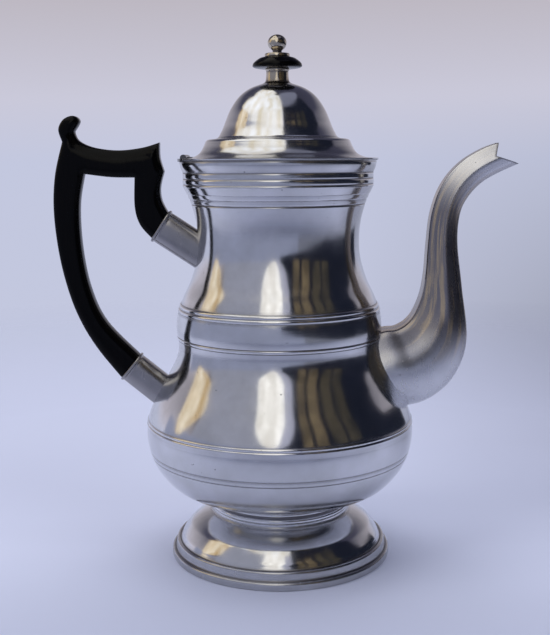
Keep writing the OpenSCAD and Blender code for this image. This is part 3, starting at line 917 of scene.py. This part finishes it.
def build_handle():
    outline, chamfers = handle_outline()
    if outline_area(outline) > 0:
        outline, chamfers = outline[::-1], chamfers[::-1]
    points = [Vector(p) for p in np.concatenate([outline, handle_cloud(outline)])]
    count = len(outline)
    edges = [(i, (i + 1) % count) for i in range(count)]
    flat, _, tris, _, _, _ = delaunay_2d_cdt(points, edges, [], 1, 1e-5)
    flat = np.array([tuple(p) for p in flat])
    gap, nearest = distance_to_outline(flat, outline)
    heights = handle_height(gap, chamfers[nearest], high("handle").y)
    verts = [(x, side * y, z) for side in (-1, 1) for (x, z), y in zip(flat, heights)]
    faces = handle_faces(tris, flat)
    new_piece("carved_handle", verts, faces, BLACK, "pot", ["handle"])


def outline_area(outline):
    """Area inside a closed outline, below 0 if it runs clockwise."""
    x, z = outline[:, 0], outline[:, 1]
    return 0.5 * float((x * np.roll(z, -1) - np.roll(x, -1) * z).sum())


build_handle()


# ------------------------------------------------------------------- lid

flange_points = [
    (LID_R - 0.3, LID_Z + 1.1), (LID_R - 5, LID_Z + 1.3), (LID_R - 7.7, 205.5), (LID_R - 10.6, 207),
    (LID_R - 12.4, 209.4), (LID_R - 13.6, 212), (LID_R - 14.2, 213.2), (LID_R - 15.4, 214),
    (LID_R - 18.2, 214.3), (LID_R - 19.8, 214.7), (LID_SEAM_R, LID_SEAM_Z)]
dome_points = [
    (LID_SEAM_R, LID_SEAM_Z), (27.6, 219.2), (26, 223.2), (23.4, 229), (19.1, 235), (13.8, 238.9),
    (7.6, DOME_TOP_Z)]


def hinge_cutters():
    """What the lid's edge gives up for the fixed leaf and the pot's knuckles."""
    radius = KNUCKLE_R + HINGE_GAP
    half = (high("hinge_pin").y - low("hinge_pin").y) / 2 + HINGE_GAP
    knuckle = high("lid_knuckle").y
    bars = [
        cutter_bar(radius, (HINGE_X, -half, HINGE_Z), (HINGE_X, -knuckle, HINGE_Z)),
        cutter_bar(radius, (HINGE_X, knuckle, HINGE_Z), (HINGE_X, half, HINGE_Z))]
    side = cutter_box((-80, -60, LID_Z - 2), (HINGE_X + HINGE_GAP / 2, 60, LID_Z + 6))
    return bars + [side]


def build_flange():
    outer = np.array(smooth(flange_points, 7))
    edge = [
        (LID_R - 9.5, LID_Z), (LID_R - 0.9, LID_Z), (LID_R - 0.2, LID_Z + 0.25),
        (LID_R, LID_Z + 0.55), (LID_R - 0.05, LID_Z + 0.95)]
    # The wall's inside starts past the thin edge
    inside = outer[14:] - normals(outer)[14:] * LID_WALL
    loop = edge + list(map(tuple, outer)) + list(map(tuple, inside[::-1]))
    # Painted shade along the flange's lower edge, in the gap over the rim
    flange = lathe("lid_flange_shell", loop, SPUN, "lid", ["lid_flange"],
                   shade_band=(LID_Z + 0.4, 0, 0.9))
    cut(flange, hinge_cutters())


def build_dome():
    dome = turned(dome_points, coarse=0.8)
    inner = dome - normals(dome) * LID_WALL
    top = [(BORE, DOME_TOP_Z), (BORE, DOME_TOP_Z - LID_WALL)]
    loop = list(map(tuple, dome)) + top + list(map(tuple, inner[::-1]))
    lathe("lid_dome_shell", loop, SPUN, "lid", ["lid_dome"])


def build_bezel():
    r, z0, z1 = high("lid_bezel").x, low("lid_bezel").z, high("lid_bezel").z
    ring = [(r - 0.2, z0), (r, z0 + 0.3), (r, z1), (r - 1.2, z1), (r - 1.2, z0 + 0.3), (r - 1.0, z0)]
    lathe("lid_bezel_ring", ring, SPUN, "lid", ["lid_bezel"])


build_flange()
build_dome()
build_bezel()


# ------------------------------------------------------------------ knob

def ring_about_bore(outer):
    """Closes a solid turned outline down the stud's bore."""
    return list(map(tuple, outer)) + [(BORE, outer[-1][1]), (BORE, outer[0][1])]


def build_stem():
    stem = smooth([
        (7.3, DOME_TOP_Z + 0.05), (6.9, DOME_TOP_Z + 0.35), (6.1, DOME_TOP_Z + 0.9),
        (5.7, DOME_TOP_Z + 2.4), (5.5, STEM_TOP_Z - 1.8), (5.6, STEM_TOP_Z - 1.2),
        (5.95, STEM_TOP_Z - 0.6), (5.9, STEM_TOP_Z)], 6)
    lathe("knob_pillar", ring_about_bore(stem), TURNED, "lid", ["knob_stem"])


def build_disc():
    brim = smooth([
        (DISC_R - 4, STEM_TOP_Z + 0.05), (DISC_R - 1.3, STEM_TOP_Z + 0.4),
        (DISC_R - 0.2, STEM_TOP_Z + 0.9), (DISC_R, STEM_TOP_Z + 1.6), (DISC_R - 0.7, STEM_TOP_Z + 3),
        (DISC_R - 3.2, STEM_TOP_Z + 4.9), (7.4, STEM_TOP_Z + 5.5), (6, WASHER_Z - 0.05)], 7)
    lathe("knob_black_disc", ring_about_bore(brim), BLACK, "lid", ["knob_disc"])


def build_washer():
    r, z0, z1 = high("knob_washer").x, WASHER_Z, WASHER_TOP_Z
    washer = [
        (r - 0.3, z0), (r, z0 + 0.25), (r, z1 - 0.45), (r - 0.2, z1 - 0.15), (r - 0.6, z1),
        (4.0, z1 - 0.02)]
    lathe("knob_collar", ring_about_bore(washer), TURNED, "lid", ["knob_washer"])


def build_ball():
    """The ball, the short neck below it, and the stud that runs down to the nut."""
    centre = KNOB_TOP_Z - BALL_HALF_H
    ball = [(BALL_R * math.cos(a), centre + BALL_HALF_H * math.sin(a))
            for a in np.linspace(math.radians(-57), math.pi / 2, 36)]
    ball[-1] = (0, KNOB_TOP_Z)
    base = WASHER_TOP_Z
    neck = smooth([(2.9, base + 0.05), (2.7, base + 0.3), (2.3, base + 0.6), (2.3, base + 1.2), ball[0]], 5)
    stud_z = low("knob_ball").z
    stud = [(0, stud_z), (1.3, stud_z), (1.5, stud_z + 0.3), (1.5, base + 0.05)]
    loop = stud + neck + ball[1:]
    lathe("knob_ball_and_stud", loop, TURNED, "lid", ["knob_ball"], closed=False)


build_stem()
build_disc()
build_washer()
build_ball()


# ----------------------------------------- CAD pieces that keep their shape

kept = {
    "hinge_leaf": DARK_CAST, "lid_knuckle": DARK_CAST, "hinge_pin": DARK_CAST, "knob_nut": BRASS,
    "upper_handle_pin": CAST, "lower_handle_pin": CAST}
for node_name, finish in kept.items():
    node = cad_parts[node_name]
    node.data.materials.clear()
    node.data.materials.append(finish)


# ----------------------------------------------------------------- stage

def glow_material(name, plain, streak=None):
    """The glow of a card, with an optional second colour in upright streaks."""
    n = new_nodes(name)
    n.shader.inputs["Base Color"].default_value = (0, 0, 0, 1)
    n.shader.inputs["Roughness"].default_value = 1.0
    n.shader.inputs["Specular IOR Level"].default_value = 0.0
    n.shader.inputs["Emission Color"].default_value = plain + (1,)
    n.shader.inputs["Emission Strength"].default_value = 1.0
    if streak:
        bands = n.noise(n.stretched(n.place(), (1.0, 1.0, 0.35)), 7.0, 3.0, 0.6)
        colour = n.mix(n.span(bands, 0.36, 0.64, 0.0, 1.0), plain + (1,), streak + (1,))
        n.link(colour, n.shader.inputs["Emission Color"])
    return n.owner


def floor_material():
    """Pale paper that falls into shade in front and far to the right, and fades out far away."""
    n = new_nodes("pale_floor")
    place = n.place()
    parts = n.split(place)
    paper = n.mix(n.noise(place, 6.0, 3.0), (0.74, 0.79, 0.99, 1), (0.71, 0.76, 0.97, 1))
    in_front = n.span(parts["Y"], 0.0, -0.50, 0.0, 1.0)
    paper = n.mix(in_front, paper, (0.24, 0.27, 0.40, 1))
    behind = n.span(parts["Y"], -0.05, 0.20, 0.0, 1.0)
    far_right = n.math("MULTIPLY", n.span(parts["X"], 0.04, 0.30, 0.0, 1.0), behind)
    n.link(n.mix(far_right, paper, (0.48, 0.51, 0.66, 1)), n.shader.inputs["Base Color"])
    n.shader.inputs["Roughness"].default_value = 0.9
    n.shader.inputs["Specular IOR Level"].default_value = 0.1
    n.link(n.span(n.length(place), 0.35, 1.0, 1.0, 0.0), n.shader.inputs["Alpha"])
    return n.owner


def build_floor():
    radius, sides = 1.4, 96
    angles = [2 * math.pi * i / sides for i in range(sides)]
    verts = [(0, 0, 0)] + [(radius * math.cos(a), radius * math.sin(a), 0) for a in angles]
    mesh = bpy.data.meshes.new("floor")
    mesh.from_pydata(verts, [], [(0, i + 1, (i + 1) % sides + 1) for i in range(sides)])
    mesh.materials.append(floor_material())
    floor = bpy.data.objects.new("floor", mesh)
    bpy.context.scene.collection.objects.link(floor)


CARD_MIDDLE = 0.15      # height on the pot that the cards' angles are measured from


def card(name, rows, plain, streak=None, radius=1.2):
    """A glowing curved card around the pot.

    Each row is a height on the card, as an angle above level, and the card's
    start and end there, as angles about the pot from 0 towards the camera and
    positive towards the spout. All are in degrees.
    """
    steps = 24
    verts, faces = [], []
    for lift, start, end in rows:
        for k in range(steps + 1):
            a = math.radians(start + (end - start) * k / steps)
            verts.append((radius * math.sin(a), -radius * math.cos(a),
                          CARD_MIDDLE + radius * math.tan(math.radians(lift))))
    for row in range(len(rows) - 1):
        for k in range(steps):
            i = row * (steps + 1) + k
            faces.append([i, i + 1, i + steps + 2, i + steps + 1])
    add_card(name, verts, faces, plain, streak)


def overhead_card(name, turn, reach, plain, streak=None, height=1.9):
    """A flat card overhead, over a range of turn and between two distances from the axis."""
    steps = 24
    verts, faces = [], []
    for k in range(steps + 1):
        a = math.radians(turn[0] + (turn[1] - turn[0]) * k / steps)
        verts += [(r * math.sin(a), -r * math.cos(a), height) for r in reach]
    for k in range(steps):
        faces.append([2 * k, 2 * k + 2, 2 * k + 3, 2 * k + 1])
    add_card(name, verts, faces, plain, streak)


def add_card(name, verts, faces, plain, streak):
    """A card that is seen in reflections only."""
    mesh = bpy.data.meshes.new(name)
    mesh.from_pydata(verts, [], faces)
    mesh.materials.append(glow_material(name, plain, streak))
    obj = bpy.data.objects.new(name, mesh)
    obj.visible_camera = False
    obj.visible_diffuse = False
    obj.visible_shadow = False
    bpy.context.scene.collection.objects.link(obj)


def build_cards():
    """A grey room with a bright window in front, dark to the right, as polished pewter shows it."""
    grey, shade = (0.37, 0.385, 0.475), (0.33, 0.36, 0.50)
    dark = (0.012, 0.015, 0.028)
    white, gold = (1.38, 1.42, 1.50), (0.98, 0.86, 0.62)
    card("wall_left_low", [(-14, -112, 28), (10, -112, 24)], shade, radius=1.22)
    card("wall_left", [(10, -80, 14), (60, -80, 14)], grey, radius=1.22)
    card("window_front", [(10, -8, -4), (17, -15, -1), (27, -22, 2), (38, -25, 5), (56, -25, 5)],
         (1.55, 1.52, 1.45), (1.05, 1.0, 0.92))
    card("window_edge", [(10, -4, 0), (17, -1, 7), (27, 2, 12), (38, 5, 15), (56, 5, 15)],
         (0.50, 0.51, 0.64), radius=1.19)
    card("room_right",
         [(-8, 70, 134), (-2, 36, 134), (1, 17, 134), (5, 2, 130), (13, 3, 108), (24, 8, 102), (60, 9, 102)],
         dark)
    for start, end in ((20, 28), (32, 42)):
        card(f"panel_{start}", [(8, start, end), (43, start, end)],
             (0.30, 0.23, 0.14), (0.10, 0.08, 0.055), radius=1.18)
    for start, end in ((47, 58), (61, 72)):
        card(f"panel_{start}", [(9, start, end), (44, start, end)],
             (0.10, 0.085, 0.06), (0.03, 0.03, 0.033), radius=1.18)
    card("window_left", [(5, -98, -93), (16, -103, -85), (30, -108, -79), (50, -110, -77)],
         (0.66, 0.45, 0.20), (1.25, 1.12, 0.90), radius=1.18)
    card("window_near", [(43, -116, 13), (74, -116, 13)], white, gold, radius=0.4)
    overhead_card("ceiling_left", (-165, 16), (0.12, 1.2), white, (0.9, 0.78, 0.55))
    overhead_card("ceiling_right", (16, 135), (0.12, 0.95), (0.24, 0.25, 0.34))


def area_light(name, place, target, size, energy, colour):
    """A soft light that lights the floor but leaves no shape of its own in the metal."""
    light = bpy.data.lights.new(name, "AREA")
    light.shape = "RECTANGLE"
    light.size, light.size_y = size
    light.energy = energy
    light.color = colour
    obj = bpy.data.objects.new(name, light)
    obj.location = place
    obj.rotation_euler = (Vector(target) - Vector(place)).to_track_quat("-Z", "Y").to_euler()
    obj.visible_glossy = False
    bpy.context.scene.collection.objects.link(obj)


def build_lights():
    middle = (0, 0, 0.12)
    area_light("key_left", (-1.3, -0.7, 1.3), middle, (1.1, 1.1), 12, (1.0, 0.98, 0.96))
    area_light("fill_right", (1.2, -1.0, 1.2), middle, (1.4, 1.2), 9, (0.93, 0.95, 1.0))
    area_light("top", (0.0, 0.5, 1.8), middle, (1.8, 1.8), 20, (0.97, 0.97, 1.0))


def build_world():
    """Pale lilac paper around and below, under a dark ceiling.

    It is dimmer low down to the right and in front, and brighter to the left.
    """
    world = bpy.data.worlds.new("paper")
    bpy.context.scene.world = world
    n = Nodes(world, "Background")
    way = n.split(n.add("ShaderNodeTexCoord").outputs["Generated"])
    rightward = n.span(way["X"], 0.05, 0.27, 0.0, 1.0)
    low_right = n.math("MULTIPLY", rightward, n.span(way["Z"], 0.07, -0.14, 0.0, 1.0))
    right = n.span(low_right, 0.0, 1.0, 1.0, 0.70)
    left = n.span(way["X"], -0.4, -0.9, 1.0, 1.3)
    front = n.span(way["Y"], 0.3, -0.3, 1.0, 0.55)
    strength = n.math("MULTIPLY", n.math("MULTIPLY", right, left), front)
    n.link(world_ramp(n, way["Z"]), n.shader.inputs["Color"])
    n.link(strength, n.shader.inputs["Strength"])


def world_ramp(n, rise):
    """The world's colour by how far up one looks, from level at 0 to straight up at 1."""
    stops = [
        (0.0, (0.545, 0.575, 0.735)), (0.06, (0.59, 0.585, 0.70)), (0.15, (0.51, 0.48, 0.54)),
        (0.30, (0.36, 0.34, 0.38)), (0.55, (0.07, 0.07, 0.11)), (1.0, (0.05, 0.05, 0.08))]
    ramp = n.add("ShaderNodeValToRGB", {"Fac": rise})
    elements = ramp.color_ramp.elements
    for place, _ in stops[1:-1]:
        elements.new(place)
    for element, (place, colour) in zip(elements, stops):
        element.position = place
        element.color = (*colour, 1)
    return ramp.outputs["Color"]


def build_camera():
    """A viewpoint in front of the pot, level with the rim, looking down onto the belly."""
    eye_height, distance = 0.2034, 0.513
    pan, tilt, roll = math.radians(0.23), math.radians(8.82), math.radians(0.42)
    right0 = Vector((math.cos(pan), math.sin(pan), 0))
    forward = Vector((-math.sin(pan) * math.cos(tilt), math.cos(pan) * math.cos(tilt), -math.sin(tilt)))
    up0 = right0.cross(forward)
    right = right0 * math.cos(roll) - up0 * math.sin(roll)
    up = right0 * math.sin(roll) + up0 * math.cos(roll)
    lens = bpy.data.cameras.new("camera")
    lens.lens = 57.22
    lens.sensor_width = 36
    camera = bpy.data.objects.new("camera", lens)
    camera.matrix_world = Matrix((
        (right.x, up.x, -forward.x, 0), (right.y, up.y, -forward.y, -distance),
        (right.z, up.z, -forward.z, eye_height), (0, 0, 0, 1)))
    bpy.context.scene.collection.objects.link(camera)
    bpy.context.scene.camera = camera


build_floor()
build_cards()
build_lights()
build_world()
build_camera()
bpy.context.scene.view_settings.view_transform = "Standard"
